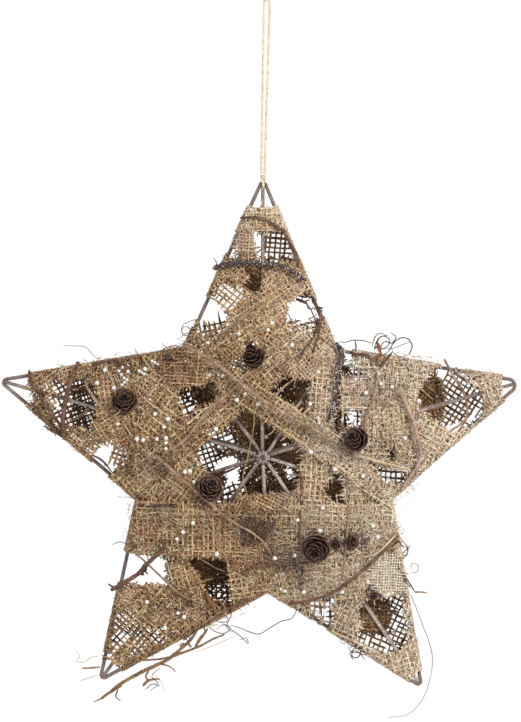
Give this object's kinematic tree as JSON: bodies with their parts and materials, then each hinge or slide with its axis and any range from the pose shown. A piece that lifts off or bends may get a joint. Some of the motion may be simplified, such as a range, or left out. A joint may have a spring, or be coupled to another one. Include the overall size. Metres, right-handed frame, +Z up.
{
  "type": "hanging star ornament",
  "caption": "Five-pointed bent-wire star wound with open-weave jute strips, with twigs, vines and small cones, on a twine hanging loop.",
  "frame": {"origin": "inside top of the hanging loop, where a hook or peg carries it", "axes": "+Z up, +X to the right as seen from the front, the front faces -Y"},
  "size_m": [0.3972, 0.0985, 0.5528],
  "materials": {
    "wire": "dull brown rusted wire",
    "jute": "rough open-weave jute",
    "dark_bark": "dark knobbly vine",
    "tan_bark": "pale peeled twig",
    "red_bark": "red-brown bark",
    "cone": "dark woody scales",
    "twine": "pale twisted twine"
  },
  "bodies": {
    "root": {"outline_wire": "wire", "front_tip_spoke_1": "wire", "front_tip_spoke_2": "wire", "front_tip_spoke_3": "wire", "front_tip_spoke_4": "wire", "front_tip_spoke_5": "wire", "front_valley_spoke_1": "wire", "front_valley_spoke_2": "wire", "front_valley_spoke_3": "wire", "front_valley_spoke_4": "wire", "front_valley_spoke_5": "wire", "back_tip_spoke_1": "wire", "back_tip_spoke_2": "wire", "back_tip_spoke_3": "wire", "back_tip_spoke_4": "wire", "back_tip_spoke_5": "wire", "front_hub": "wire", "back_hub": "wire", "jute_tip_scrap": "jute", "jute_tip_patch": "jute", "jute_tip_cross_low": "jute", "jute_right_seam": "jute", "jute_left_long": "jute", "jute_lower_left_neck": "jute", "jute_right_arm_low": "jute", "jute_lower_left_tip": "jute", "jute_lower_right_side": "jute", "jute_left_tip_wrap": "jute", "jute_tip_cross_high": "jute", "jute_right_wide": "jute", "jute_bottom_run": "jute", "jute_lower_left_wrap": "jute", "jute_lower_right_tip": "jute", "jute_left_edge": "jute", "jute_left_low_edge": "jute", "jute_right_tip_wrap": "jute", "jute_across_low": "jute", "jute_right_arm_high": "jute", "jute_left_arm_wide": "jute", "jute_long_down": "jute", "jute_long_up": "jute", "jute_tip_band": "jute", "knobbly_vine_top": "dark_bark", "knobbly_vine_right": "dark_bark", "long_twig": "tan_bark", "left_twig": "tan_bark", "right_vine": "tan_bark", "lower_twig": "tan_bark", "lower_right_vine": "tan_bark", "branching_twig": "tan_bark", "flat_left_twig": "red_bark", "lower_left_twig": "red_bark", "trailing_tendril": "red_bark", "cone_left": "cone", "cone_upper": "cone", "cone_lower_left": "cone", "cone_right": "cone", "cone_lower_right": "cone", "hanging_twine": "twine", "twine_tie": "twine"}
  },
  "joints": []
}
